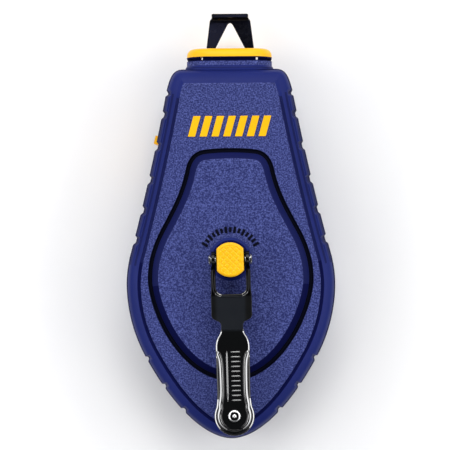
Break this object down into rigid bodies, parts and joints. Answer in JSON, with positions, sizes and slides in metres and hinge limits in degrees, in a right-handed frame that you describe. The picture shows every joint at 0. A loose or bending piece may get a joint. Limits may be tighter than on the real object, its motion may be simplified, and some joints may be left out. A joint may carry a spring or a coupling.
{
  "type": "chalk line reel",
  "caption": "Teardrop two-shell chalk line reel with a folding rewind crank, line release button, sliding fill door and a pull-out line hook.",
  "frame": {"origin": "where the spool axis meets the flat of the raised rear panel, which the reel lies on", "axes": "+Z along the spool and crank axis, out of the front face; +Y towards the nose and the line hook; +X to the right as the front is seen"},
  "size_m": [0.0954, 0.1947, 0.0596],
  "materials": {
    "case_blue": "moulded blue, fine spark texture on the faces and satin borders",
    "yellow": "moulded yellow, semi-gloss",
    "hook_steel": "black coated sheet steel",
    "crank_metal": "black coated, satin at the fork and glossy on the paddle",
    "knob_plastic": "black moulded",
    "gear_plastic": "grey acetal",
    "steel": "plain zinc",
    "bushing_brass": "turned",
    "rubber": "matte",
    "felt": "pressed felt",
    "line": "twisted line full of blue chalk"
  },
  "bodies": {
    "case": {"front_shell": "case_blue", "rear_shell": "case_blue", "nose_collar": "yellow", "felt_pad_front": "felt", "felt_pad_rear": "felt", "line_guide": "steel", "spool_axle": "steel", "spool_washer": "bushing_brass", "ring_gear": "gear_plastic", "front_bushing": "bushing_brass", "shaft_seal": "felt", "fill_door_seal": "rubber", "case_screw_1": "steel", "case_screw_2": "steel", "case_screw_3": "steel", "case_screw_4": "steel", "case_screw_5": "steel"},
    "crank": {"crank_hub": "crank_metal", "shaft_clip": "steel", "planet_carrier": "gear_plastic", "planet_pin_1": "steel", "planet_pin_2": "steel", "planet_pin_3": "steel", "hinge_pin_right": "hook_steel", "hinge_pin_left": "hook_steel"},
    "planet_1": {"planet_gear_1": "gear_plastic"},
    "planet_2": {"planet_gear_2": "gear_plastic"},
    "planet_3": {"planet_gear_3": "gear_plastic"},
    "spool": {"spool": "gear_plastic", "line_winding": "line", "sun_gear": "gear_plastic"},
    "arm": {"crank_arm": "crank_metal", "knob_rivet": "steel"},
    "knob": {"crank_knob": "knob_plastic"},
    "button": {"release_button": "yellow", "release_stem": "steel", "clutch_plate": "steel", "button_spring": "steel"},
    "hook": {"line_hook": "hook_steel", "chalk_line": "line"},
    "door": {"fill_door": "yellow"}
  },
  "joints": [
    {"name": "crank_turn", "type": "hinge", "parent": "case", "child": "crank", "pos_m": [0, 0, 0.044], "axis": [0, 0, 1], "continuous": true},
    {"name": "planet_1_spin", "type": "hinge", "parent": "crank", "child": "planet_1", "pos_m": [0, 0.0162, 0.028], "axis": [0, 0, 1], "continuous": true},
    {"name": "planet_2_spin", "type": "hinge", "parent": "crank", "child": "planet_2", "pos_m": [-0.01403, -0.0081, 0.028], "axis": [0, 0, 1], "continuous": true},
    {"name": "planet_3_spin", "type": "hinge", "parent": "crank", "child": "planet_3", "pos_m": [0.01403, -0.0081, 0.028], "axis": [0, 0, 1], "continuous": true},
    {"name": "spool_spin", "type": "hinge", "parent": "case", "child": "spool", "pos_m": [0, 0, 0.0155], "axis": [0, 0, 1], "continuous": true},
    {"name": "crank_fold", "type": "hinge", "parent": "crank", "child": "arm", "pos_m": [0, 0, 0.052], "axis": [-0.9998, -0.0192, 0], "range_deg": [0, 180]},
    {"name": "knob_spin", "type": "hinge", "parent": "arm", "child": "knob", "pos_m": [0.00134, -0.06969, 0.048], "axis": [0, 0, 1], "continuous": true},
    {"name": "button_press", "type": "slide", "parent": "crank", "child": "button", "axis": [0, 0, -1], "range_m": [0, 0.0022], "stiffness_N_per_m": 600, "deforming": ["button_spring"]},
    {"name": "hook_pull", "type": "slide", "parent": "case", "child": "hook", "axis": [0, 1, 0], "range_m": [0, 0.15], "deforming": ["chalk_line"]},
    {"name": "fill_door_slide", "type": "slide", "parent": "case", "child": "door", "axis": [-0.2251, -0.9743, 0], "range_m": [0, 0.021]}
  ],
  "couplings": [
    {"joint": "planet_1_spin", "follows": "crank_turn", "ratio": -4},
    {"joint": "planet_2_spin", "follows": "crank_turn", "ratio": -4},
    {"joint": "planet_3_spin", "follows": "crank_turn", "ratio": -4},
    {"joint": "spool_spin", "follows": "crank_turn", "ratio": 3}
  ]
}
